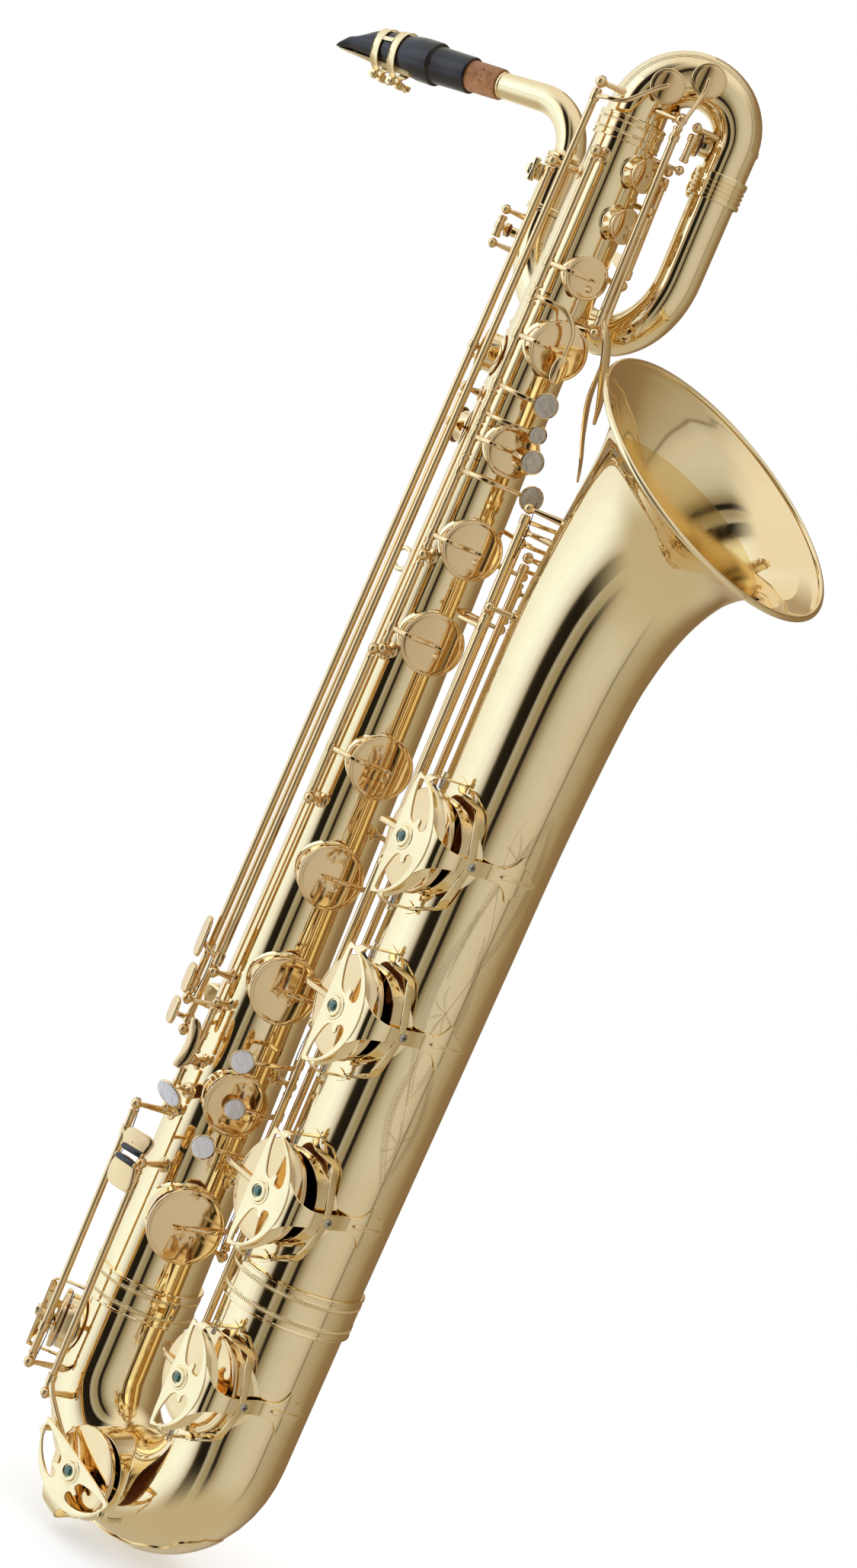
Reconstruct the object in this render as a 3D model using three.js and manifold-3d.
// Baritone saxophone with a low A bell, in millimetres, +Z up.
// The body tube stands along +Z, the bell is forward at +X, and -Y is the
// player's right hand side. The bench frame has z = 0 at the bottom of the bow;
// the exported group is moved so that the origin is the eye of the strap ring.
import * as THREE from 'three';
import { mergeVertices } from 'three/addons/utils/BufferGeometryUtils.js';
import Module from 'manifold-3d';

const wasm = await Module();
wasm.setup();

// ---------- driving dimensions ----------
const WALL = 1.2;                 // tube wall
const GAP = 0.35;                 // clearance between touching pieces
const BODY_Z0 = 155.3, BODY_Z1 = 1032.8;
const BODY_R1 = 21.4;             // body radius at its top
const BODY_TAPER = 0.01824;       // radius growth per mm downwards
const rb = (z) => BODY_R1 + BODY_TAPER * (1033 - z);
const BOW_X = 62, BOW_Z = 102;    // centre of the bottom bow bend
const BOW_R = 62;                 // its bend radius
const BELL_Z0 = 220.3;
const ARM_R = [56, 42], ARM_L = [-88, 54];   // loop arms, right and left
const LOOP_Z = 955, LOOP_R = 55;  // loop bend
const NECK_Z = 1003, NECK_R = 37, NECK_YAW = 8, NECK_DROP = 2.4;
const RING_Z = 705, RING_REACH = 13;

const COL = {
  brass: 0xd9c08a, dark: 0x1b1a1c, cork: 0xc98a52, cane: 0xe2cf9a, pearl: 0xd9d6d0, steel: 0xb8b8b8,
};
const mat = (c, r, m) => new THREE.MeshStandardMaterial({ color: c, roughness: r, metalness: m });
const BRASS = () => mat(COL.brass, 0.18, 1);

// ---------- small vector helpers ----------
const V = (p) => new THREE.Vector3(p[0], p[1], p[2]);
const A = (v) => [v.x, v.y, v.z];
const rad = (d) => d * Math.PI / 180;
const cyl = (th, rho, z, ax = [0, 0]) => [ax[0] + rho * Math.cos(rad(th)), ax[1] + rho * Math.sin(rad(th)), z];
const dirOf = (th, nz = 0) => A(new THREE.Vector3(Math.cos(rad(th)), Math.sin(rad(th)), nz).normalize());
const add = (p, q, s = 1) => [p[0] + q[0] * s, p[1] + q[1] * s, p[2] + q[2] * s];
const nrm = (p) => A(V(p).normalize());

// ---------- solids ----------
const signed = (pos, tri) => {
  let v = 0;
  for (let i = 0; i < tri.length; i += 3) {
    const [a, b, c] = [tri[i] * 3, tri[i + 1] * 3, tri[i + 2] * 3];
    v += pos[a] * (pos[b + 1] * pos[c + 2] - pos[b + 2] * pos[c + 1])
      - pos[a + 1] * (pos[b] * pos[c + 2] - pos[b + 2] * pos[c])
      + pos[a + 2] * (pos[b] * pos[c + 1] - pos[b + 1] * pos[c]);
  }
  return v / 6;
};
function toSolid(pos, tri) {
  if (signed(pos, tri) < 0) for (let i = 0; i < tri.length; i += 3) { const t = tri[i]; tri[i] = tri[i + 1]; tri[i + 1] = t; }
  return new wasm.Manifold(new wasm.Mesh({ numProp: 3, vertProperties: Float32Array.from(pos), triVerts: Uint32Array.from(tri) }));
}
function fromGeometry(g) {
  g.deleteAttribute('normal'); g.deleteAttribute('uv');
  const m = mergeVertices(g, 1e-4);
  const tri = [];
  const ix = m.index.array;
  for (let i = 0; i < ix.length; i += 3) if (ix[i] !== ix[i + 1] && ix[i + 1] !== ix[i + 2] && ix[i] !== ix[i + 2]) tri.push(ix[i], ix[i + 1], ix[i + 2]);
  return toSolid(Array.from(m.attributes.position.array), tri);
}
const join = (list) => list.length === 1 ? list[0] : wasm.Manifold.union(list);

// closed loft through equal rings, with fan caps
function loft(rings) {
  const n = rings[0].length, pos = [], tri = [];
  for (const r of rings) for (const p of r) pos.push(...p);
  for (let k = 0; k + 1 < rings.length; k++) for (let i = 0; i < n; i++) {
    const a = k * n + i, b = k * n + (i + 1) % n, c = a + n, d = b + n;
    tri.push(a, b, d, a, d, c);
  }
  for (const [k, flip] of [[0, true], [rings.length - 1, false]]) {
    const c = [0, 0, 0];
    for (const p of rings[k]) { c[0] += p[0] / n; c[1] += p[1] / n; c[2] += p[2] / n; }
    const ci = pos.length / 3;
    pos.push(...c);
    for (let i = 0; i < n; i++) { const a = k * n + i, b = k * n + (i + 1) % n; flip ? tri.push(b, a, ci) : tri.push(a, b, ci); }
  }
  return toSolid(pos, tri);
}
function basis(t, up) {
  const T = V(t).normalize();
  let U = up ? V(up) : (Math.abs(T.z) < 0.9 ? new THREE.Vector3(0, 0, 1) : new THREE.Vector3(1, 0, 0));
  U.addScaledVector(T, -U.dot(T)).normalize();
  return [T, U, new THREE.Vector3().crossVectors(T, U)];
}
const ring = (c, U, W, ru, rw, n, ph = 0) => Array.from({ length: n }, (_, i) => {
  const a = 2 * Math.PI * (i + ph) / n;
  return A(V(c).addScaledVector(U, Math.cos(a) * ru).addScaledVector(W, Math.sin(a) * rw));
});
// samples [point, radius] along a smooth path, swept as a round solid
function sweep(stations, n, extend = 0) {
  const P = stations.map((s) => V(s[0]));
  const T = P.map((_, i) => new THREE.Vector3().subVectors(P[Math.min(i + 1, P.length - 1)], P[Math.max(i - 1, 0)]).normalize());
  if (stations[0].length > 2) stations.forEach((s, i) => { if (s[2]) T[i] = V(s[2]).normalize(); });
  let [, U] = basis(A(T[0]));
  const rings = [];
  P.forEach((p, i) => {
    U.addScaledVector(T[i], -U.dot(T[i])).normalize();
    const W = new THREE.Vector3().crossVectors(T[i], U);
    const q = p.clone();
    if (extend && i === 0) q.addScaledVector(T[i], -extend);
    if (extend && i === P.length - 1) q.addScaledVector(T[i], extend);
    rings.push(ring(A(q), U, W, stations[i][1], stations[i][1], n));
  });
  return loft(rings);
}
const rod = (a, b, r0, r1 = r0, n = 6) => {
  const [, U, W] = basis(A(new THREE.Vector3().subVectors(V(b), V(a))));
  return loft([ring(a, U, W, r0, r0, n), ring(b, U, W, r1, r1, n)]);
};
// bar of oval section along points; up is the direction of its thickness
function bar(pts, w, t, up, n = 4) {
  const P = pts.map(V);
  return loft(P.map((p, i) => {
    const T = new THREE.Vector3().subVectors(P[Math.min(i + 1, P.length - 1)], P[Math.max(i - 1, 0)]);
    const [, U, W] = basis(A(T), Array.isArray(up[0]) ? up[i] : up);
    const ww = Array.isArray(w) ? w[i] : w, tt = Array.isArray(t) ? t[i] : t;
    return ring(A(p), U, W, tt * 0.68, ww * 0.68, n, 0.5);
  }));
}
function lathe(profile, origin, axis, n) {
  const g = new THREE.LatheGeometry(profile.map((p) => new THREE.Vector2(p[0], p[1])), n);
  g.applyQuaternion(new THREE.Quaternion().setFromUnitVectors(new THREE.Vector3(0, 1, 0), V(axis).normalize()));
  g.translate(...origin);
  return fromGeometry(g);
}
const disc = (c, n, r, h0, h1, seg = 14) => lathe([[0, h0], [r, h0], [r, h1], [0, h1]], c, n, seg);
const ball = (c, r) => { const g = new THREE.OctahedronGeometry(r * 1.05, 0); g.translate(...c); return fromGeometry(g); };
// flat outline with holes, in the plane of u and v at c, thickness h along w
function plate(outline, holes, c, u, v, h) {
  const s = new THREE.Shape(outline.map((p) => new THREE.Vector2(...p)));
  for (const q of holes) s.holes.push(new THREE.Path(q.map((p) => new THREE.Vector2(...p))));
  const g = new THREE.ExtrudeGeometry(s, { depth: h, bevelEnabled: false, steps: 1 });
  const U = V(u).normalize(), Vv = V(v).normalize(), W = new THREE.Vector3().crossVectors(U, Vv);
  g.applyMatrix4(new THREE.Matrix4().makeBasis(U, Vv, W).setPosition(...c));
  return fromGeometry(g);
}
const oval = (a, b, n = 12, cx = 0, cy = 0) => Array.from({ length: n }, (_, i) => [cx + a * Math.cos(2 * Math.PI * i / n), cy + b * Math.sin(2 * Math.PI * i / n)]);

// ---------- elements of keywork, described once ----------
// tube a b r | arm pts w t up | cup c n r (c is the top of the chimney, n outward)
// pearl c n r | ball c r | stem a b r0 r1 | touch c u v a b h
const SEG = 10;
function element(e) {
  switch (e.k) {
    case 'tube': return rod(e.a, e.b, e.r, e.r, 6);
    case 'stem': return rod(e.a, e.b, e.r0, e.r1, 6);
    case 'arm': return bar(e.pts, e.w, e.t, e.up);
    case 'cup': return lathe([[0, GAP], [e.r, GAP], [e.r, 4.8], [e.r * 0.6, 6.9], [0, 6.9]], e.c, e.n, e.r > 24 ? 14 : SEG);
    case 'pearl': return lathe([[0, -2.4], [e.r, -2.4], [e.r, 0.4], [0, 1.9]], e.c, e.n, 8);
    case 'ball': return ball(e.c, e.r);
    case 'touch': return plate(oval(e.a, e.b, 8), [], e.c, e.u, e.v, e.h);
    default: throw new Error(e.k);
  }
}

// ---------- chimneys: [tube axis point, outward normal, rim distance, hole radius] ----------
const STACK = [   // name, theta, z, cup radius
  ['c1', -29, 930, 15], ['c2', -27, 878, 20.5], ['c3', -31, 804, 18.5], ['c4', -31, 732, 21], ['c5', -32, 663, 22],
  ['c6', -33, 571, 22.5], ['c7', -40, 489, 23], ['c8', -40, 404, 24.5], ['c9', -41, 317, 22.5], ['c10', -41, 225, 27.5],
];
const CH = 6.5;                                   // chimney height above the tube
const holeR = (r) => r - 4;
const bodyHoles = [];
const cupAt = {};
for (const [n, th, z, r] of STACK) { cupAt[n] = { c: cyl(th, rb(z) + CH, z), n: dirOf(th), r, th, z }; bodyHoles.push({ o: [0, 0, z], n: dirOf(th), top: rb(z) + CH, r: holeR(r) }); }
for (const [n, th, z, r] of [['palm_d', -8, 972, 12.5], ['palm_eb', -8, 1008, 12], ['side_c', -150, 860, 15.5], ['side_bb', -166, 806, 13], ['oct1', 140, 905, 5.5]]) {
  const h = n === 'oct1' ? 5 : CH;
  cupAt[n] = { c: cyl(th, rb(z) + h, z), n: dirOf(th), r, th, z };
  bodyHoles.push({ o: [0, 0, z], n: dirOf(th), top: rb(z) + h, r: n === 'oct1' ? 2 : r - 3.5 });
}
// bell side keys, about the bell axis
const BT = [[220, 124, 43.9], [400, 126.8, 45.1], [578, 129.6, 46.3], [670, 132.6, 48.6], [715, 137, 51.2], [751, 144.5, 54.8], [782, 154.5, 60.5]];
const bellAt = (z, j) => { for (let i = 1; i < BT.length; i++) if (z <= BT[i][0] || i === BT.length - 1) { const [p, q] = [BT[i - 1], BT[i]]; return p[j] + (q[j] - p[j]) * (z - p[0]) / (q[0] - p[0]); } };
const bellX = (z) => bellAt(z, 1);
const bellR = (z) => bellAt(z, 2);
const BELLKEYS = [['low_a', -100, 547], ['low_bb', -97, 425], ['low_b', -94, 290], ['low_cs', -95, 150]];
for (const [n, th, z] of BELLKEYS) {
  const ax = [z < 220 ? 124 : bellX(z), 0], R = z < 220 ? 43.2 : bellR(z);
  cupAt[n] = { c: cyl(th, R + 5.5, z, ax), n: dirOf(th), r: 36, th, z, ax, R };
}
// bow keys
cupAt.low_c = { c: [58, -46.5, 46], n: [0, -1, 0], r: 32, z: 46 };
cupAt.low_eb = { c: cyl(-138, 44.5, 116), n: dirOf(-138), r: 22, th: -138, z: 116 };
// arch and loop keys
const ARCH = (phi) => [28 - 28 * Math.cos(rad(phi)), 21 - 21 * Math.cos(rad(phi)), 1047 + 35 * Math.sin(rad(phi))];
const VIEWN = dirOf(-51, 0.06);
cupAt.trill = { c: cyl(-88, rb(311) + 3, 311), n: dirOf(-88), r: 5.5, th: -88, z: 311 };
bodyHoles.push({ o: [0, 0, 311], n: dirOf(-88), top: rb(311) + 3, r: 3 });
cupAt.side_e = { c: add([10, 7.5, 1066], VIEWN, 26), n: VIEWN, r: 12 };
cupAt.palm_f = { c: add([29, 22, 1080], VIEWN, 24), n: VIEWN, r: 12 };
cupAt.high_fs = { c: add([56, 42, 1043], [-0.8, -0.6, 0], 21.5), n: [-0.8, -0.6, 0], r: 9.5 };
cupAt.oct2 = { c: add([-88, 54, 944], nrm([-0.9, -0.45, 0]), 18), n: nrm([-0.9, -0.45, 0]), r: 5 };

// ---------- rod lines: point at height z ----------
const LINE = {
  US: (z) => cyl(-78, rb(z) + 11, z),
  GS: (z) => cyl(-86, rb(z) + 13, z),
  LS: (z) => cyl(7, rb(z) + 13, z),
  L1: (z) => cyl(-124, rb(z) + 19, z),
  L2: (z) => cyl(-110, rb(z) + 14, z),
  L3: (z) => cyl(-136, rb(z) + 11, z),
  RR: (z) => cyl(-10, rb(z) + 24, z),
  PD: (z) => cyl(27, rb(z) + 12, z),
  PE: (z) => cyl(37, rb(z) + 13, z),
  EB: (z) => cyl(-109, 64, z),
  LC: (z) => [4, -60, z],
  A: (z) => [80, -38, z], BB: (z) => [71, -29, z], B: (z) => [66, -18, z], CS: (z) => [68, -6, z],
};
const KEYS = {};
const OPEN = new Set(['upper_c_key', 'b_key', 'a_key', 'g_key', 'aux_g_key', 'fs_key', 'f_key', 'e_key', 'd_key', 'low_a_key', 'low_bb_key', 'low_b_key', 'low_c_key', 'front_f_key', 'bis_key']);
function key(name, line, z0, z1, deg, els, extra = {}) {
  const L = typeof line === 'string' ? LINE[line] : line;
  const a = L(z0), b = L(z1);
  // positive turn about a to b, signed so that it lifts the cup off its chimney,
  // or draws a touch that has no cup away from the tube
  const f = els.find((e) => e.k === 'cup') ?? els.find((e) => e.k === 'pearl') ?? els.find((e) => e.k === 'touch');
  const n = f.n ?? A(new THREE.Vector3().crossVectors(V(f.u), V(f.v)));
  const lift = new THREE.Vector3().crossVectors(V(nrm([b[0] - a[0], b[1] - a[1], b[2] - a[2]])), new THREE.Vector3().subVectors(V(f.c), V(a))).dot(V(n));
  let open = Math.abs(deg) * Math.sign(lift);
  if (name.includes('lever')) open = -open;
  KEYS[name] = { a, b, open, els: [{ k: 'tube', a, b, r: extra.r ?? 2.7 }, ...els] };
}
// arm from a rod line at zr to the centre of a cup, lying on the cup
function cupArm(L, zr, cp, w = 4.2, lift = 0, side = 0) {
  const a = LINE[L] ? LINE[L](zr) : L(zr), top = add(cp.c, cp.n, 6.9), end = add(top, [0, 0, 0]);
  const d = nrm([end[0] - a[0], end[1] - a[1], end[2] - a[2]]);
  const h = V([end[0] - a[0], end[1] - a[1], end[2] - a[2]]).dot(V(cp.n));
  const rimIn = add(end, d, -cp.r * 0.95);
  const q = add(rimIn, cp.n, lift - V([rimIn[0] - end[0], rimIn[1] - end[1], rimIn[2] - end[2]]).dot(V(cp.n)) + 0.6);
  return { k: 'arm', pts: [a, q, add(end, cp.n, 0.3), add(end, d, cp.r * 0.35)], w: [w * 1.1, w, w * 0.9, w * 0.5], t: [3.6, 3, 2.6, 1.8], up: cp.n };
}
const CUP = (n) => ({ k: 'cup', ...cupAt[n] });

// --- upper stack on the left hinge rod ---
key('upper_c_key', 'US', 912, 1006, 7, [CUP('c1'), cupArm('US', 930, cupAt.c1)]);
key('front_f_key', 'US', 903.5, 911, -6, [
  { k: 'arm', pts: [LINE.US(907), cyl(-62, rb(905) + 23, 906), cyl(-40, rb(905) + 27, 904), cyl(-29, rb(890) + 29, 893), cyl(-28, rb(880) + 30, 874)], w: 4, t: 2.6, up: [dirOf(-70), dirOf(-60), dirOf(-40), dirOf(-30), dirOf(-30)] },
  { k: 'touch', c: cyl(-28, rb(865) + 29, 866), u: dirOf(62), v: [0, 0, 1], a: 6.2, b: 10, h: 2.4, pearl: 0 }]);
key('b_key', 'US', 838, 903, 7, [CUP('c2'), cupArm('US', 878, cupAt.c2),
  { k: 'arm', pts: [LINE.US(843), cyl(-60, rb(842) + 21, 842), cyl(-42, rb(842) + 27, 841), cyl(-30, rb(841) + 29, 841)], w: 4, t: 2.6, up: [dirOf(-75), dirOf(-60), dirOf(-42), dirOf(-30)] },
  { k: 'pearl', c: cyl(-27, rb(841) + 32, 841), n: dirOf(-27), r: 8.8 }]);
key('bis_key', 'US', 814, 837.6, 6, [
  { k: 'arm', pts: [LINE.US(822), cyl(-60, rb(821) + 20, 821), cyl(-42, rb(821) + 25, 821), cyl(-26, rb(821) + 27, 821)], w: 3.4, t: 2.4, up: [dirOf(-75), dirOf(-60), dirOf(-42), dirOf(-26)] },
  { k: 'pearl', c: cyl(-24, rb(821) + 29.6, 821), n: dirOf(-24), r: 6.6 }]);
key('a_key', 'US', 790, 813.6, 7, [CUP('c3'), cupArm('US', 804, cupAt.c3),
  { k: 'arm', pts: [add(cupAt.c3.c, cupAt.c3.n, 6.6), cyl(-24, rb(803) + 18, 803), cyl(-19, rb(803) + 24, 803), cyl(-20, rb(803) + 29.4, 803)], w: 4, t: 3, up: [dirOf(-31), dirOf(-24), dirOf(-24), dirOf(72)] },
  { k: 'pearl', c: cyl(-20, rb(803) + 30.6, 803), n: dirOf(-20), r: 8.5 }]);
key('g_key', 'US', 722, 789.6, 7, [CUP('c4'), cupArm('US', 732, cupAt.c4),
  { k: 'arm', pts: [LINE.US(779), cyl(-60, rb(780) + 22, 780), cyl(-40, rb(780) + 29, 780), cyl(-16, rb(780) + 31, 780)], w: 4, t: 2.8, up: [dirOf(-75), dirOf(-60), dirOf(-40), dirOf(-16)] },
  { k: 'pearl', c: cyl(-12, rb(780) + 34, 780), n: dirOf(-14), r: 9 }]);
key('aux_g_key', 'US', 652, 712, 7, [CUP('c5'), cupArm('US', 663, cupAt.c5)]);
key('gs_key', 'GS', 538, 640, -8, [CUP('c6'), cupArm('GS', 571, cupAt.c6)]);
// --- lower stack on the right hinge rod ---
key('fs_key', 'LS', 452, 520, -7, [CUP('c7'), cupArm('LS', 489, cupAt.c7)]);
key('f_key', 'LS', 345, 451.6, -7, [CUP('c8'), cupArm('LS', 404, cupAt.c8),
  { k: 'arm', pts: [LINE.LS(356), cyl(-14, rb(356) + 24, 357), cyl(-34, rb(355) + 28, 356), cyl(-50, rb(354) + 31, 354)], w: 4, t: 2.8, up: [dirOf(5), dirOf(-14), dirOf(-34), dirOf(-50)] },
  { k: 'pearl', c: cyl(-53, rb(353) + 34, 353), n: dirOf(-51), r: 8.8 }]);
key('e_key', 'LS', 302, 335, -7, [CUP('c9'), cupArm('LS', 317, cupAt.c9),
  { k: 'stem', a: add(cupAt.c9.c, cupAt.c9.n, 6), b: add(add(cupAt.c9.c, cupAt.c9.n, 11), dirOf(-131), 2.2), r0: 4, r1: 3.5 },
  { k: 'pearl', c: add(add(cupAt.c9.c, cupAt.c9.n, 13), dirOf(-131), 2.6), n: dirOf(-44), r: 8 }]);
key('d_key', 'LS', 214, 301.6, -7, [CUP('c10'), cupArm('LS', 232, cupAt.c10),
  { k: 'arm', pts: [LINE.LS(289), cyl(-14, rb(288) + 23, 289), cyl(-36, rb(288) + 28, 289), cyl(-52, rb(288) + 31, 288)], w: 4, t: 2.8, up: [dirOf(5), dirOf(-14), dirOf(-36), dirOf(-52)] },
  { k: 'pearl', c: cyl(-55, rb(288) + 34, 288), n: dirOf(-52), r: 8.8 }]);
// --- right hand side keys ---
const sideTouch = (th, z, h, L, ll) => [
  { k: 'arm', pts: [LINE[L](z), cyl(th, rb(z) + h - 2, z)], w: 5, t: 3, up: dirOf(th) },
  { k: 'touch', c: cyl(th, rb(z) + h - 1.6, z), u: dirOf(th + 90), v: [0, 0, 1], a: 7, b: ll, h: 3 }];
key('side_e_key', 'L2', 398, 1050, 8, [CUP('side_e'),
  { k: 'arm', pts: [LINE.L2(1044), cyl(-88, rb(1044) + 19, 1045), cyl(-66, rb(1044) + 17, 1048), add(add(cupAt.side_e.c, cupAt.side_e.n, 8.2), nrm([-0.5, -0.35, -0.5]), 9), add(cupAt.side_e.c, cupAt.side_e.n, 7.4)], w: 3.6, t: 2.6, up: [dirOf(-100), dirOf(-88), dirOf(-66), VIEWN, VIEWN] },
  { k: 'arm', pts: [LINE.L2(404), cyl(-113, rb(405) + 22, 406), cyl(-120, rb(408) + 27, 411)], w: 4.4, t: 3, up: [dirOf(-110), dirOf(-113), dirOf(-120)] },
  { k: 'touch', c: cyl(-121, rb(411) + 26, 413), u: dirOf(-31), v: [0, 0, 1], a: 7, b: 15, h: 3 }]);
key('side_c_key', 'L1', 372, 990, 10, [CUP('side_c'),
  { k: 'arm', pts: [LINE.L1(860), add(cupAt.side_c.c, add(cupAt.side_c.n, dirOf(-60), 1), 8), add(cupAt.side_c.c, cupAt.side_c.n, 7.2)], w: 4, t: 2.8, up: dirOf(-150) },
  { k: 'arm', pts: [LINE.L1(380), cyl(-118, rb(381) + 25, 381)], w: 4.4, t: 3, up: dirOf(-120) },
  { k: 'touch', c: cyl(-117, rb(382) + 25, 383), u: dirOf(-27), v: [0, 0, 1], a: 7, b: 11, h: 3 }]);
key('side_bb_key', 'L3', 348, 827, 10, [CUP('side_bb'),
  { k: 'arm', pts: [LINE.L3(806), add(add(cupAt.side_bb.c, cupAt.side_bb.n, 7.4), dirOf(-76), 9), add(cupAt.side_bb.c, cupAt.side_bb.n, 7.2)], w: 4, t: 2.6, up: dirOf(-160) },
  { k: 'arm', pts: [LINE.L3(352), cyl(-136, rb(352) + 22, 352), cyl(-119, rb(353) + 27.2, 356)], w: 4.4, t: 3, up: [dirOf(-46), dirOf(-136), dirOf(-122)] },
  { k: 'touch', c: cyl(-117, rb(356) + 26, 358), u: dirOf(-27), v: [0, 0, 1], a: 7, b: 10, h: 3 }]);
key('high_fs_lever', (z) => cyl(-92, rb(z) + 12, z), 338, 372, 6, [
  { k: 'arm', pts: [cyl(-92, rb(352) + 12, 352), cyl(-91, rb(350) + 20, 350), cyl(-89, rb(346) + 26.6, 347)], w: 4.4, t: 3, up: [dirOf(-2), dirOf(-2), dirOf(-2)] },
  { k: 'touch', c: cyl(-88, rb(345) + 25.4, 345), u: dirOf(14), v: [0, 0, 1], a: 5.6, b: 18.5, h: 2.6, shape: 1 }]);
key('trill_fs_key', (z) => cyl(-101, rb(z) + 10, z), 298, 324, 5, [CUP('trill'),
  { k: 'arm', pts: [cyl(-101, rb(311) + 10, 311), cyl(-94, rb(311) + 12, 311), add(cupAt.trill.c, cupAt.trill.n, 7.2)], w: 3.6, t: 2.4, up: [dirOf(-101), dirOf(-94), dirOf(-88)] },
  { k: 'arm', pts: [cyl(-101, rb(303) + 10, 303), cyl(-96, rb(304) + 20, 304), cyl(-89, rb(307) + 27, 307)], w: 4, t: 2.8, up: [dirOf(-11), dirOf(-6), dirOf(1)] },
  { k: 'touch', c: cyl(-86, rb(308) + 26, 308), u: [0.92, 0.17, -0.33], v: [0.32, 0.06, 0.94], a: 12, b: 6.6, h: 3, pearl: 1 }]);
// --- palm keys ---
key('palm_f_key', 'RR', 903, 1046, 7, [CUP('palm_f'),
  { k: 'arm', pts: [LINE.RR(1038), [52, -15, 1046], add(add(cupAt.palm_f.c, cupAt.palm_f.n, 8), [0, 0, -1], 10), add(cupAt.palm_f.c, cupAt.palm_f.n, 7.2)], w: 3.4, t: 2.6, up: [dirOf(-10), dirOf(-30), VIEWN, VIEWN] },
  { k: 'arm', pts: [LINE.RR(911), [56, -5, 898], [62, -1, 876], [66, 2, 858], [68, 3, 843]], w: [4, 9, 11, 9, 4], t: [3, 2.4, 2.2, 2, 1.6], up: [dirOf(-5), dirOf(0), dirOf(0), dirOf(5), dirOf(5)] }]);
key('palm_d_key', 'PD', 905, 984, -10, [CUP('palm_d'),
  { k: 'arm', pts: [LINE.PD(972), add(add(cupAt.palm_d.c, cupAt.palm_d.n, 7.6), dirOf(82), 8), add(cupAt.palm_d.c, cupAt.palm_d.n, 7.2)], w: 4, t: 2.6, up: dirOf(5) },
  { k: 'arm', pts: [LINE.PD(912), [47, 11, 889], [53, 6, 858], [58, 8, 835], [64, 11, 815], [67, 12, 803]], w: [4, 5, 12, 12, 8, 3], t: [3, 2.4, 2.2, 2.2, 2, 1.6], up: [dirOf(27), dirOf(25), dirOf(20), dirOf(25), dirOf(25), dirOf(25)] }]);
key('palm_eb_key', 'PE', 940, 1013.5, -10, [CUP('palm_eb'),
  { k: 'arm', pts: [LINE.PE(1008), cyl(18, rb(1008) + 17, 1008), add(cupAt.palm_eb.c, cupAt.palm_eb.n, 7.4)], w: 4, t: 2.6, up: [dirOf(30), dirOf(15), dirOf(-5)] },
  { k: 'arm', pts: [LINE.PE(944), cyl(58, rb(944) + 15, 946), cyl(80, rb(944) + 17, 950), cyl(98, rb(944) + 19, 954)], w: [4, 8, 12, 7], t: [3, 2.4, 2.2, 1.8], up: [dirOf(37), dirOf(58), dirOf(80), dirOf(98)] }]);
key('high_fs_key', (z) => [46, 9, z], 1026, 1046, 8, [CUP('high_fs'),
  { k: 'arm', pts: [[46, 9, 1043], [38, 20, 1043], add(cupAt.high_fs.c, cupAt.high_fs.n, 7.2)], w: 3.4, t: 2.4, up: [[-0.8, -0.6, 0], [-0.8, -0.6, 0], [-0.8, -0.6, 0]] }]);
// --- octave mechanism ---
key('octave_key_body', (z) => cyl(118, rb(z) + 9, z), 885, 922, 12, [CUP('oct1'),
  { k: 'arm', pts: [cyl(118, rb(905) + 9, 905), add(cupAt.oct1.c, cupAt.oct1.n, 6)], w: 3.4, t: 2.6, up: dirOf(130) }]);
key('octave_key_loop', (z) => [-104, 32, z], 936, 952, -12, [CUP('oct2'),
  { k: 'arm', pts: [[-104, 32, 944], add(cupAt.oct2.c, cupAt.oct2.n, 6)], w: 3.4, t: 2.6, up: [-0.9, -0.45, 0] }]);
key('octave_thumb_lever', (z) => cyl(172, rb(z) + 9, z), 838, 880, 8, [
  { k: 'arm', pts: [cyl(172, rb(855) + 9, 855), cyl(160, rb(855) + 13, 856)], w: 6, t: 3, up: dirOf(170) },
  { k: 'touch', c: cyl(154, rb(858) + 12, 858), u: dirOf(244), v: [0, 0, 1], a: 7, b: 13, h: 2.6 }]);
// --- bell keys on the long rods between body and bell ---
function bellKey(name, L, zTop, open, mid, els) {
  const cp = cupAt[name];
  const c = add(cp.c, cp.n, 7.7), t = dirOf(cp.th + 90), a = LINE[L](cp.z);
  key(`${name}_key`, L, cp.z - 24, zTop, open, [CUP(name),
    { k: 'arm', pts: [a, [...mid, cp.z], add(c, t, -27), c, add(c, t, 12)], w: [5, 5, 5, 4.6, 3], t: [4, 3.4, 3.2, 2.6, 2], up: [dirOf(cp.th), dirOf(-150), cp.n, cp.n, cp.n] }, ...els]);
}
const tableTouch = (z, L, x, y, path, a = 12, b = 6.2) => [
  { k: 'arm', pts: [LINE[L](z), ...path, [x + 0.9, y - 0.4, z]], w: 4, t: 3, up: [0, 0, 1] },
  { k: 'touch', c: [x, y - 1, z], u: nrm([-0.55, 0.84, 0]), v: [0, 0, 1], a, b, h: 2.6 }];
bellKey('low_a', 'A', 700, -6.5, [78.5, -53], [{ k: 'arm', pts: [[80, -38, 690], [70, -40, 690], [60, -41, 690]], w: 4, t: 3, up: [0, 0, 1] }]);
bellKey('low_bb', 'BB', 770, -6.5, [72, -50], tableTouch(766, 'BB', 72, 24, [[76, -14, 766], [76, 6, 766]]));
bellKey('low_b', 'B', 754, -6.5, [68, -48], tableTouch(750, 'B', 72, 24, [[70, -10, 750], [74, 6, 750]]));
bellKey('low_cs', 'CS', 738, 6.5, [70, -40], tableTouch(734, 'CS', 72, 24, [[73, 6, 734]]));
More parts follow.
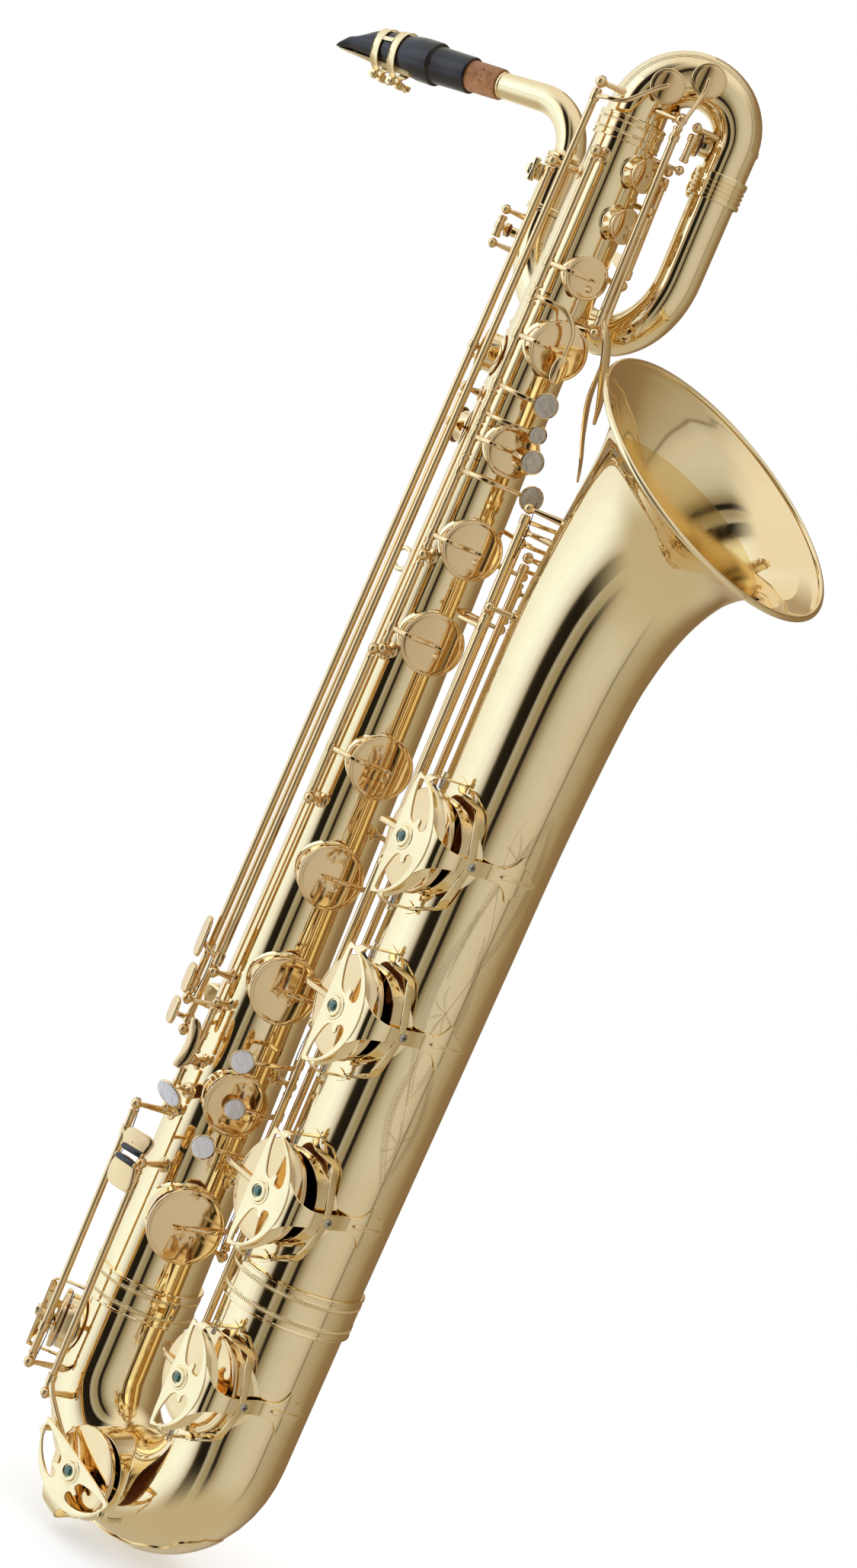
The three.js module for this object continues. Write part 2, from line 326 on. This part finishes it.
key('gs_lever', (z) => [57, 10, z], 694, 724, 5, [
  { k: 'arm', pts: [[57, 10, 717], [64, 16, 717], [72.9, 23.5, 717]], w: 4, t: 3, up: [0, 0, 1] },
  { k: 'touch', c: [72, 23, 717], u: nrm([-0.55, 0.84, 0]), v: [0, 0, 1], a: 12, b: 6.2, h: 2.6 }]);
key('low_a_thumb_lever', (z) => cyl(95, rb(z) + 12, z), 745, 790, 6, [
  { k: 'arm', pts: [cyl(95, rb(775) + 12, 775), cyl(118, rb(775) + 17, 778), cyl(140, rb(780) + 18, 784)], w: 5, t: 3, up: [dirOf(95), dirOf(118), dirOf(140)] },
  { k: 'touch', c: cyl(146, rb(790) + 16, 790), u: dirOf(236), v: [0, 0, 1], a: 7, b: 12, h: 2.6 },
  { k: 'arm', pts: [cyl(95, rb(750) + 12, 750), cyl(70, rb(748) + 17, 748), cyl(48, rb(748) + 21, 748)], w: 4, t: 3, up: [dirOf(95), dirOf(70), dirOf(48)] }]);
// --- low E flat and low C keys at the foot ---
key('low_eb_key', 'EB', 93, 284, 8, [CUP('low_eb'),
  { k: 'arm', pts: [LINE.EB(116), add(add(cupAt.low_eb.c, cupAt.low_eb.n, 9), dirOf(-48), 16), add(cupAt.low_eb.c, cupAt.low_eb.n, 7.4)], w: 4.6, t: 3, up: dirOf(-138) },
  { k: 'arm', pts: [LINE.EB(268), cyl(-98, 71, 269), cyl(-86, 77.6, 270)], w: 5, t: 3, up: [0, 0, 1] },
  { k: 'touch', c: cyl(-84, 76.5, 271), u: dirOf(8), v: [0, 0, 1], a: 10, b: 8.6, h: 3 }]);
key('low_c_key', 'LC', 82, 250, 6, [CUP('low_c'),
  { k: 'arm', pts: [LINE.LC(88), [14, -61, 78], [32, -58, 62], [50, -54.6, 50], [60, -54.2, 44]], w: [5, 5, 5, 4.6, 3], t: [4, 3.4, 3.2, 3, 2], up: [dirOf(-98), [0.1, -1, 0], [0, -1, 0], [0, -1, 0], [0, -1, 0]] },
  { k: 'arm', pts: [LINE.LC(240), [5, -70, 241], cyl(-85, 77.6, 243)], w: 5, t: 3, up: [0, 0, 1] },
  { k: 'touch', c: cyl(-84, 76.5, 248), u: dirOf(8), v: [0, 0, 1], a: 10, b: 11.5, h: 3 }]);

// ---------- posts: ball at the rod line, stem to a tube ----------
const POSTS = { body: [], bell: [], bow: [], arch: [], loop: [] };
const post = (on, p, foot, r = 4.1) => POSTS[on].push({ p, foot, r });
const bodyPost = (L, z, r) => { const f = typeof L === 'string' ? LINE[L] : L; const p = f(z); const th = Math.atan2(p[1], p[0]); const q = rb(z) - 0.6; post('body', p, [q * Math.cos(th), q * Math.sin(th), z], r); };
const bellPost = (L, z) => { const p = LINE[L](z); const ax = [bellX(z), 0]; const d = nrm([p[0] - ax[0], p[1] - ax[1], 0]); post('bell', p, [ax[0] + d[0] * (bellR(z) - 0.6), ax[1] + d[1] * (bellR(z) - 0.6), z], 3.8); };
for (const z of [1010.5, 717, 647.5]) bodyPost('US', z);
for (const z of [644.5, 533.5]) bodyPost('GS', z);
for (const z of [524.5, 340, 209.5]) bodyPost('LS', z);
for (const z of [994.5, 367.5]) bodyPost('L1', z);
bodyPost('L2', 393.5);
for (const z of [333.5, 376.5]) bodyPost((q) => cyl(-92, rb(q) + 12, q), z, 3.4);
for (const z of [293.5, 328.5]) bodyPost((q) => cyl(-101, rb(q) + 10, q), z, 3.4);
for (const z of [831.5, 343.5]) bodyPost('L3', z);
for (const z of [898.5]) bodyPost('RR', z);
for (const z of [988.5, 900.5]) bodyPost('PD', z, 3.6);
for (const z of [1018, 935.5]) bodyPost('PE', z, 3.6);
bodyPost((z) => [46, 9, z], 1020.4, 3.2);
for (const z of [880.5, 926.5]) bodyPost((q) => cyl(118, rb(q) + 9, q), z, 3.4);
for (const z of [833.5, 884.5]) bodyPost((q) => cyl(172, rb(q) + 9, q), z, 3.4);
for (const z of [288.5]) bodyPost('EB', z);
for (const z of [254.5]) bodyPost('LC', z);
for (const z of [689.5, 728.5]) bodyPost((q) => [57, 10, q], z, 3.6);
for (const z of [740.5, 794.5]) bodyPost((q) => cyl(95, rb(q) + 12, q), z, 3.6);
bellPost('A', 704.5); bellPost('A', 518.5);
bellPost('BB', 774.5); bellPost('BB', 396.5);
bellPost('B', 758.5); bellPost('B', 261.5);
bellPost('CS', 742.5);
post('bow', LINE.CS(121.5), [85, -3, 121.5], 3.8);
post('bow', LINE.EB(88.5), [2 - 34 * 0.33, -34 * 0.95, 88.5]);
post('bow', LINE.LC(77.5), [9, -34, 77.5]);
post('arch', LINE.L2(1054.5), [3, -14, 1054.5]);
post('arch', LINE.RR(1050.5), [21, -5, 1051]);
post('arch', [46, 9, 1050.5], [51.6, 27.4, 1050.5], 3.4);
post('loop', [-104, 32, 931.5], [-91.3, 44.8, 931.5], 3.4);
post('loop', [-104, 32, 956.5], [-95.2, 44.1, 956.5], 3.4);
const postSolids = (on) => POSTS[on].flatMap((q) => {
  const d = nrm([q.foot[0] - q.p[0], q.foot[1] - q.p[1], q.foot[2] - q.p[2]]);
  return [ball(q.p, q.r), rod(q.p, add(q.foot, d, 0.6), q.r * 0.6, q.r * 0.9, 4)];
});

// ---------- tubes ----------
function hollow(stations, n, wall, add1 = [], cuts = [], inner = []) {
  const out = sweep(stations, n);
  const inn = sweep(stations.map((s) => [s[0], s[1] - wall, s[2]]), n, 3);
  let m = join([out, ...add1]);
  m = m.subtract(join([inn, ...inner]));
  if (cuts.length) m = m.subtract(join(cuts));
  return m;
}
// chimney pair: solid collar to add and hole to cut
const chimney = (o, n, top, r, base = 8) => ({ add: lathe([[0, base], [r + 1.8, base], [r + 1.8, top], [0, top]], o, n, r > 24 ? 14 : 10), cut: lathe([[0, base], [r, base], [r, top + 2], [0, top + 2]], o, n, r > 24 ? 14 : 10) });

// body
const bodySt = []; for (let i = 0; i <= 1; i++) { const z = BODY_Z0 + (BODY_Z1 - BODY_Z0) * i; bodySt.push([[0, 0, z], rb(z), [0, 0, 1]]); }
const bch = bodyHoles.map((h) => chimney(h.o, h.n, h.top, h.r));
const LB = nrm([0.8, 0.6, 0]);
const loopBrace = rod(add([0, 0, 932], LB, rb(932) - 0.6), add([0, 0, 932], LB, 45.5), 3, 3, 6);
const braceZ = 262;
const bodyBrace = [
  rod([rb(braceZ) - 0.6, 0, braceZ], [bellX(braceZ) - bellR(braceZ) - 1.5, 0, braceZ], 3, 3, 8), rod([rb(braceZ) - 0.6, 0, braceZ], [rb(braceZ) + 3, 0, braceZ], 8, 6, 10),
  rod([bellX(braceZ) - bellR(braceZ) - 3.2, 0, braceZ], [bellX(braceZ) - bellR(braceZ) - 0.5, 0, braceZ], 6, 7, 10)];
const topSleeve = lathe([[21.0, 1024], [23.8, 1024], [23.8, 1041], [21.25, 1041], [21.25, 1032], [21.0, 1032], [21.0, 1024]], [0, 0, 0], [0, 0, 1], 20);
const body = hollow(bodySt, 18, WALL, [...bch.map((c) => c.add), ...postSolids('body'), loopBrace, ...bodyBrace], bch.map((c) => c.cut)).add(topSleeve);

// bottom bow
const bowSt = [[[0, 0, 154.9], 37.4, [0, 0, -1]]];
for (let i = 0; i <= 7; i++) { const a = Math.PI * (1 - i / 7); bowSt.push([[BOW_X + BOW_R * Math.cos(a), 0, BOW_Z - BOW_R * Math.sin(a)], 37.9 + i * 0.66, [-Math.sin(a) * -1 * 0 + Math.sin(a), 0, -Math.cos(a) * -1]]); }
for (const s of bowSt.slice(1)) { const a = Math.atan2(BOW_Z - s[0][2], s[0][0] - BOW_X); s[2] = [Math.sin(a), 0, Math.cos(a)]; }
bowSt.push([[124, 0, 219.9], 43.8, [0, 0, 1]]);
const csC = cupAt.low_cs, cC = cupAt.low_c, ebC = cupAt.low_eb;
const bowCh = [chimney([124, 0, 150], csC.n, 43.2 + 5.5, 30.5, 14), chimney([58, 0, 46], cC.n, 46.5, 27, 14), chimney([0, 0, 116], ebC.n, 44.5, 18.5, 12)];
const bow = hollow(bowSt, 18, 1.4, [...bowCh.map((c) => c.add), ...postSolids('bow')], bowCh.map((c) => c.cut));

// bell: centre line leaning forward and flaring to the rim
const TILT = 34;
const bt = (d) => [Math.sin(rad(d)), 0, Math.cos(rad(d))];
const bellSt = [
  [[124, 0, BELL_Z0], 43.9, bt(0)], [[126.8, 0, 400], 45.1, bt(0.9)], [[129.6, 0, 578], 46.3, bt(1.2)],
  [[132.6, 0, 670], 48.6, bt(4)], [[137, 0, 715], 51.2, bt(9)], [[144.5, 0, 751], 54.8, bt(15)], [[154.5, 0, 782], 60.5, bt(22)],
  [[164.5, 0, 803], 67.5, bt(27.5)], [[173, 0, 817.5], 77, bt(31)], [[179, 0, 826.5], 88, bt(33)], [[182.8, 0, 832], 98, bt(TILT)], [[184.6, 0, 834.6], 103, bt(TILT)],
];
const bellHoles = BELLKEYS.slice(0, 3).map(([n]) => { const c = cupAt[n]; return chimney([c.ax[0], 0, c.z], c.n, c.R + 5.5, 30.5, 14); });
const rimT = lathe([[100.8, -1.6], [104.6, -1.4], [105.4, 0.8], [103.6, 2.6], [100.8, 1.8], [100.8, -1.6]], [184.4, 0, 834.3], bt(TILT), 24);
const bell = hollow(bellSt, 24, 1.3, [...bellHoles.map((c) => c.add), ...postSolids('bell')], bellHoles.map((c) => c.cut)).add(rimT);

// top arch and the loop
const archSt = [[[0, 0, 1033.2], 20.9, [0, 0, 1]], [[0, 0, 1047], 20.7, [0, 0, 1]]];
for (let i = 1; i < 6; i++) { const p = ARCH(30 * i), a = rad(30 * i); archSt.push([p, 20.7 - 0.78 * i, [0.8 * Math.sin(a), 0.6 * Math.sin(a), Math.cos(a)]]); }
archSt.push([[56, 42, 1047], 16.3, [0, 0, -1]], [[56, 42, 1020.2], 16, [0, 0, -1]]);
const archCh = [chimney([10, 7.5, 1066], cupAt.side_e.n, 26, 8), chimney([29, 22, 1080], cupAt.palm_f.n, 24, 8), chimney([56, 42, 1043], [-0.8, -0.6, 0], 21.5, 6)];
const arch = hollow(archSt, 12, 1.1, [...archCh.map((c) => c.add), ...postSolids('arch')], archCh.map((c) => c.cut));

const LD = nrm([ARM_L[0] - ARM_R[0], ARM_L[1] - ARM_R[1], 0]);
const MID = [(ARM_R[0] + ARM_L[0]) / 2, (ARM_R[1] + ARM_L[1]) / 2, LOOP_Z - LOOP_R];
const quarter = (base, d, r0, r1, dirUp) => [0, 22.5, 45, 67.5, 90].map((g, i) => {
  const a = rad(g), c = add([base[0], base[1], LOOP_Z], d, LOOP_R);
  return [add(add(c, d, -LOOP_R * Math.cos(a)), [0, 0, -1], LOOP_R * Math.sin(a)), r0 + (r1 - r0) * i / 4, [d[0] * Math.sin(a), d[1] * Math.sin(a), -Math.cos(a)]];
});
const lr = [[[56, 42, 1019.8], 15.8, [0, 0, -1]], ...quarter(ARM_R, LD, 15.2, 14.5), [add(MID, LD, -0.2), 14.3, LD]];
const NLD = [-LD[0], -LD[1], 0];
const ll = [[[ARM_L[0], ARM_L[1], 963.8], 12.8, [0, 0, -1]], ...quarter(ARM_L, NLD, 12.9, 13.9), [add(MID, NLD, -0.2), 14.1, NLD]];
const WN = [-LD[1], LD[0], 0];
const WQ = add(add(MID, LD, 14), [0, 0, -1], 16.6), WP = add(add(MID, LD, 28), [0, 0, -1], 19.2);
for (const q of [-6.2, 6.2]) post('loop', add(WP, WN, q), add(add(add(MID, LD, 26), WN, q * 0.9), [0, 0, -1], 10.5), 2.8);
const loopRight = hollow(lr, 10, 1.1).add(lathe([[13.6, -9], [16, -9], [16, 9], [14.7, 9], [14.7, -0.1], [13.6, -0.1], [13.6, -9]], MID, LD, 12));
const octCh = chimney([-88, 54, 944], cupAt.oct2.n, 18, 2, 4);
const wCh = chimney(add(MID, LD, 14), [0, 0, -1], 16.6, 2, 6);
const loopLeft = hollow(ll, 10, 1.1, [octCh.add, wCh.add, ...postSolids('loop')], [octCh.cut, wCh.cut]);

// sleeves over the tube joints

const sleeve = (c, ax, ri, ro, z0, z1, n) => { // with a raised bead at each end
  const b = 0.7;
  return lathe([[ri, z0], [ro + b, z0], [ro + b, z1], [ri, z1], [ri, z0]], c, ax, n);
};

// guards over the low keys: D plate with two windows, boss, two short legs and one long foot
function guard(cp, R, opts = {}) {
  const n = cp.n, t = opts.t ?? dirOf(cp.th + 90), up = opts.up ?? [0, 0, 1], s = opts.s ?? 1, H = opts.h ?? 21;
  const o = add(cp.c, n, H);                       // plate level above the chimney rim
  const arc = []; const cx = -18 * s, rr = 44 * s;
  for (let i = 0; i <= 8; i++) { const a = rad(-80 + 160 * i / 8); arc.push([cx + rr * Math.cos(a), rr * Math.sin(a)]); }
  const win = (q) => [[-6, 13], [5, 11], [14, 17], [6, 32], [-6, 36]].map(([a, b]) => [a * s, q * b * s]);
  const w1 = win(1), w2 = win(-1).reverse();
  const els = [plate(arc, [w1, w2], add(o, n, 0), t, up, 1.6 * (opts.flip ? -1 : 1))];
  const P = (a, b, h) => add(add(add(cp.c, t, a * s), up, b * s), n, h);
  const surf = (a) => Math.sqrt(Math.max(0, R * R - a * a * s * s)) - (opts.rim ?? (R + 5.5)) + 1.0;
  els.push(bar([P(0, 40, H + 0.8), P(2, 44.6, H - 3), P(3, 45.2, 2), P(3, 45.2, surf(3))], 6, 2.4, [up, up, up, up]));
  els.push(bar([P(0, -40, H + 0.8), P(2, -44.6, H - 3), P(3, -45.2, 2), P(3, -45.2, surf(3))], 6, 2.4, [up, up, up, up]));
  const lx = opts.leg ?? 41.5, foot = opts.foot ?? surf(36) + 0.4;
  els.push(bar([P(20, 0, H + 0.8), P(lx - 8, 0, H - 1), P(lx, 0, 8), P(lx, 0, foot < -8 ? -8 : foot), ...(foot < -8 ? [P(36, 0, foot)] : [])], foot < -8 ? [14, 11, 8, 8, 10] : [14, 11, 8, 8], 2.4, foot < -8 ? [n, n, t, t, t] : [n, n, t, t]));
  els.push(lathe([[0, -0.6], [6.4, -0.6], [5, 4.2], [0, 4.4]], o, n, 8));
  return join(els);
}

// ---------- build the group ----------
const bench = new THREE.Group();
bench.position.set(rb(RING_Z) + RING_REACH, 0, -RING_Z);
const group = new THREE.Group();
group.add(bench);
const nodes = {};
function put(name, rough, material) {
  const solid = rough.asOriginal().simplify(0.06);
  const m = solid.getMesh();
  const g = new THREE.BufferGeometry();
  g.setAttribute('position', new THREE.BufferAttribute(Float32Array.from(m.vertProperties), 3));
  g.setIndex(new THREE.BufferAttribute(Uint32Array.from(m.triVerts), 1));
  const mesh = new THREE.Mesh(g, material);
  mesh.name = name;
  bench.add(mesh);
  nodes[name] = solid;
}
put('body_tube', body, BRASS());
put('bell', bell, BRASS());
put('bottom_bow', bow, BRASS());
put('body_bow_ring', sleeve([0, 0, 0], [0, 0, 1], 38.5, 39.6, 146, 172, 20), BRASS());
put('bell_bow_ring', sleeve([124, 0, 0], [0, 0, 1], 45, 46.2, 206, 236, 20), BRASS());
put('upper_bow', arch, BRASS());
put('loop_right_tube', loopRight, BRASS());
put('loop_left_tube', loopLeft, BRASS());
put('loop_clamp_ring', join([sleeve([56, 42, 0], [0, 0, 1], 16.9, 18, 1010.5, 1029, 14), plate([[17.4, -4], [24, -4], [24, 4], [17.4, 4]], [], [56, 42, 1012], LD, nrm([LD[1], -LD[0], 0]), -15).add(rod(add([56, 42, 1015.5], LD, 21), add(add([56, 42, 1015.5], LD, 21), [0.1, -1, 0], 6.4), 2.2)).add(rod(add([56, 42, 1023.5], LD, 21), add(add([56, 42, 1023.5], LD, 21), [0.1, -1, 0], 6.4), 2.2))]), BRASS());
// receiver and clamp screw
const RX = ARM_L;
const recv = lathe([[11.9, 964.3], [14.6, 964.3], [14.6, 968.5], [13.6, 969.5], [13.6, 996.5], [15, 997.5], [15, 1002.6], [11.9, 1002.6], [11.9, 964.3]], [RX[0], RX[1], 0], [0, 0, 1], 18)
  .add(plate([[13.2, -5.2], [21.5, -5.2], [21.5, 5.2], [13.2, 5.2]], [], [RX[0], RX[1], 984], nrm([-1, -0.5, 0]), nrm([0.5, -1, 0]), 12));
const slit = plate([[10, -0.9], [24, -0.9], [24, 0.9], [10, 0.9]], [], [RX[0], RX[1], 975], nrm([-1, -0.5, 0]), nrm([0.5, -1, 0]), 40);
const sc = add([RX[0], RX[1], 990], nrm([-1, -0.5, 0]), 18);
const sd = nrm([0.5, -1, 0]);
put('neck_receiver', recv.subtract(slit).subtract(rod(add(sc, sd, -9), add(sc, sd, 9), 1.75, 1.75, 8)), BRASS());
put('neck_clamp_screw', join([rod(add(sc, sd, -7), add(sc, sd, 7), 1.35, 1.35, 8), rod(add(sc, sd, 5.6), add(sc, sd, 8.6), 3.4, 3.4, 10), plate([[-3, -6], [3, -6], [3, 6], [-3, 6]], [], add(add(sc, sd, 8.2), [0, 0, 0], 1), nrm([-1, -0.5, 0]), [0, 0, 1], -8)]), BRASS());

// neck, cork, mouthpiece, reed and ligature, along the neck line
const HN = [-Math.cos(rad(NECK_YAW)), -Math.sin(rad(NECK_YAW)), 0];
const nSt = [[[RX[0], RX[1], 972], 11.4, [0, 0, 1]], [[RX[0], RX[1], NECK_Z + 0.2], 11.2, [0, 0, 1]]];
const sweepA = 90 + NECK_DROP;
for (let i = 1; i <= 5; i++) { const a = rad(sweepA * i / 5); nSt.push([add(add([RX[0], RX[1], NECK_Z], HN, NECK_R * (1 - Math.cos(a))), [0, 0, 1], NECK_R * Math.sin(a)), 11.2 - 0.24 * i, A(V(HN).multiplyScalar(Math.sin(a)).add(new THREE.Vector3(0, 0, Math.cos(a))))]); }
const N0 = nSt[nSt.length - 1][0], ND = nSt[nSt.length - 1][2];
nSt.push([add(N0, ND, 37), 9.3, ND], [add(N0, ND, 88), 8.6, ND]);
const NUP = A(new THREE.Vector3().crossVectors(new THREE.Vector3().crossVectors(V(ND), new THREE.Vector3(0, 0, 1)), V(ND)).normalize());
const NSIDE = A(new THREE.Vector3().crossVectors(V(ND), V(NUP)));
const collar = lathe([[11.75, 0.2], [15.4, 0.2], [15.4, 3.4], [11.75, 3.4], [11.75, 0.2]].map(([r, y]) => [r === 11.75 ? 10.9 : r, y]), [RX[0], RX[1], 1003], [0, 0, 1], 18);
put('neck', hollow(nSt, 12, 1.0).add(collar), BRASS());
const NP = (s, u = 0, w = 0) => add(add(add(N0, ND, s), NUP, u), NSIDE, w);
put('neck_cork', lathe([[9.75, 38], [11.2, 38.4], [11.4, 60], [10.4, 87.6], [9.75, 87.6], [9.75, 38]], N0, ND, 18), mat(COL.cork, 0.8, 0));
const MS = 64;                 // shank start along the neck line
const msec = [ // s, half width, height up, height down
  [0, 13.3, 13.3, 13.3], [31, 13.7, 13.7, 13.7], [32, 16.2, 16.2, 15.8], [48, 16.4, 16.4, 15.4], [60, 14.6, 14.8, 13.6], [75, 13.4, 13.6, 12.4],
  [88, 12.6, 12.2, 11.4], [97, 12, 6.8, 11.0], [108, 11, -0.8, 10.6], [117, 10, -7.2, 10.4], [119.5, 8.4, -9.2, 10.2]];
const mring = ([s, w, hu, hd]) => Array.from({ length: 14 }, (_, i) => { const a = 2 * Math.PI * i / 14; const cs = Math.cos(a), sn = Math.sin(a); const u = sn >= 0 ? sn * hu : sn * hd; const mid = hu < 0 ? hu : null; return NP(MS + s, mid === null ? u : (sn >= 0 ? hu : hu + sn * (hd + hu)), cs * w); });
const tableCut = plate([[46, -12.6 - 20], [46, -11.2], [121, -9.2], [130, -9.2], [130, -32]], [], NP(MS, 0, -30), ND, NUP, 60);
const bore = sweep([[NP(MS - 2), 11.75], [NP(MS + 26), 11.05], [NP(MS + 52), 8.4], [NP(MS + 92, -1), 7.2]].map((q, i) => [q[0], q[1], ND]), 14);
const chamber = plate([[60, -1.5], [60, -16], [112, -14], [112, -9], [96, -4]], [], NP(MS, 0, -6.5), ND, NUP, 13);
put('mouthpiece', loft(msec.map(mring)).subtract(tableCut).subtract(bore).subtract(chamber), mat(COL.dark, 0.3, 0));
const reedTop = (s) => -11.2 - 0.35 + (s - 46) * 2 / 75;
put('reed', plate([[50, reedTop(50)], [119, reedTop(119)], [119, reedTop(119) - 0.5], [88, reedTop(88) - 2.4], [50, reedTop(50) - 2.9]], [], NP(MS, 0, -7.4), ND, NUP, 14.8), mat(COL.cane, 0.6, 0));
const lrW = (s) => { const k = (s - 60) / 28; return [14.6 - 2 * k + 0.5, 14.8 - 2.6 * k + 0.5, 13.6 - 2.2 * k + 3.9]; };
const lig = (s0, s1, t, grow) => { const f = (s, g) => { const [w, hu, hd] = lrW(s); return Array.from({ length: 12 }, (_, i) => { const a = 2 * Math.PI * i / 12; return NP(MS + s, (Math.sin(a) >= 0 ? hu + g : hd + g) * Math.sin(a), Math.cos(a) * (w + g)); }); }; return loft([f(s0, t), f(s1, t)]).subtract(loft([f(s0 - 2, 0.2), f(s1 + 2, 0.2)])); };
const ligBands = join([lig(60.5, 67.5, 1.6), lig(77, 84, 1.6), bar([NP(MS + 61, lrW(61)[1] + 1.1), NP(MS + 84, lrW(84)[1] + 1.1)], 9, 1.6, NUP)]);
const ligLug = (s) => rod(NP(MS + s, -lrW(s)[2] - 4.6, -6.5), NP(MS + s, -lrW(s)[2] - 4.6, 6.5), 3.1, 3.1, 8);
const ligScrewPath = (s, k) => rod(NP(MS + s, -lrW(s)[2] - 4.6, -9 * k), NP(MS + s, -lrW(s)[2] - 4.6, 20 * k), 1.6, 1.6, 8);
put('ligature', join([ligBands, ligLug(64), ligLug(80.5)]).subtract(join([ligScrewPath(64, 1.2), ligScrewPath(80.5, 1.2)])), BRASS());
for (const [i, s] of [[1, 64], [2, 80.5]]) {
  const c = NP(MS + s, -lrW(s)[2] - 4.6);
  put(`ligature_screw_${i}`, join([rod(add(c, NSIDE, -8), add(c, NSIDE, 12), 1.2, 1.2, 8), rod(add(c, NSIDE, 7.2), add(c, NSIDE, 9.4), 3.2, 3.2, 10), rod(add(c, NSIDE, 9), add(c, NSIDE, 17), 2.6, 1.6, 8), rod(add(c, NSIDE, 12.5), add(c, NSIDE, 14.5), 3.3, 3.3, 8)]), BRASS());
}
// braces, rings and rests
const rz = [-(rb(RING_Z) + RING_REACH), 0, RING_Z];
put('strap_ring', join([
  lathe([[6, -1.6], [9.4, -1.6], [9.4, 1.6], [6, 1.6], [6, -1.6]], rz, [0, 1, 0], 12),
  plate([[-13, -5], [13, -5], [13, 5], [-13, 5]], [], [-(rb(RING_Z) + 0.7), 0, RING_Z], [0, 0, 1], [0, 1, 0], 2.2),
  rod([-(rb(RING_Z) + 1.5), 0, RING_Z], [-(rb(RING_Z) + RING_REACH - 7.4), 0, RING_Z], 3, 2.4, 6),
]), BRASS());
put('thumb_rest', lathe([[0, 0.5], [9, 0.5], [9.6, 3], [7, 5.6], [0, 5.2]], cyl(150, rb(826), 826), dirOf(150), 16), mat(COL.dark, 0.4, 0));
put('thumb_hook', join([
  plate([[-13, -8], [13, -8], [13, 8], [-13, 8]], [], cyl(178, rb(372) + 0.7, 372), [0, 0, 1], dirOf(268), -2.4),
  bar([cyl(178, rb(372) + 2, 372), cyl(178, rb(372) + 14, 374), cyl(172, rb(372) + 24, 368), cyl(166, rb(372) + 26, 356)], [12, 13, 14, 12], 3, [[0, 0, 1], [0, 0, 1], dirOf(178), dirOf(178)]),
]), BRASS());
// guards
for (const [n] of BELLKEYS) { const c = cupAt[n]; put(`${n}_guard`, guard(c, c.R, { h: 21 }), BRASS()); }
put('low_c_guard', guard(cupAt.low_c, 41, { t: nrm([-0.28, 0, -0.96]), up: nrm([0.96, 0, -0.28]), s: 0.98, h: 19, rim: 40.5, foot: -17.4, leg: 40 }), BRASS());
put('low_eb_guard', guard(cupAt.low_eb, 38.4, { t: dirOf(-228), s: 0.58, h: 17, rim: 44.5, flip: 1, leg: 49, foot: -9.5 }), BRASS());
// water key on the loop
put('water_key', join([lathe([[0, 0.4], [4.4, 0.4], [4.4, 3], [0, 3.4]], WQ, [0, 0, -1], 8), bar([add(WQ, [0, 0, -1], 2.8), add(WP, [0, 0, 0], 1), add(add(MID, LD, 46), [0, 0, -1], 21)], 4, 2.4, [0, 0, 1]), rod(add(WP, WN, -2.6), add(WP, WN, 2.6), 2.2, 2.2, 6)]), BRASS());
// keys
for (const [name, k] of Object.entries(KEYS)) {
  let m = join(k.els.map(element));
  if (OPEN.has(name)) {
    // modelled closed, then lifted off its chimney about its hinge rod
    m = turn(m, k.a, nrm([k.b[0] - k.a[0], k.b[1] - k.a[1], k.b[2] - k.a[2]]), k.open);
  }
  put(name, m, BRASS());
}
function turn(m, p, ax, deg) {
  const M = new THREE.Matrix4().makeTranslation(...p).multiply(new THREE.Matrix4().makeRotationAxis(V(ax), rad(deg))).multiply(new THREE.Matrix4().makeTranslation(-p[0], -p[1], -p[2]));
  return m.transform(M.elements);
}
export const SPEC = { WATER: { WP, WN, WQ }, SCREWS: { sc, sd, NSIDE, ND, NUP, N0, LS: [NP(MS + 64, -lrW(64)[2] - 4.6), NP(MS + 80.5, -lrW(80.5)[2] - 4.6)] }, LD, MID, KEYS, cupAt, POSTS, OPEN: [...OPEN], nodes, turn };
export default group;
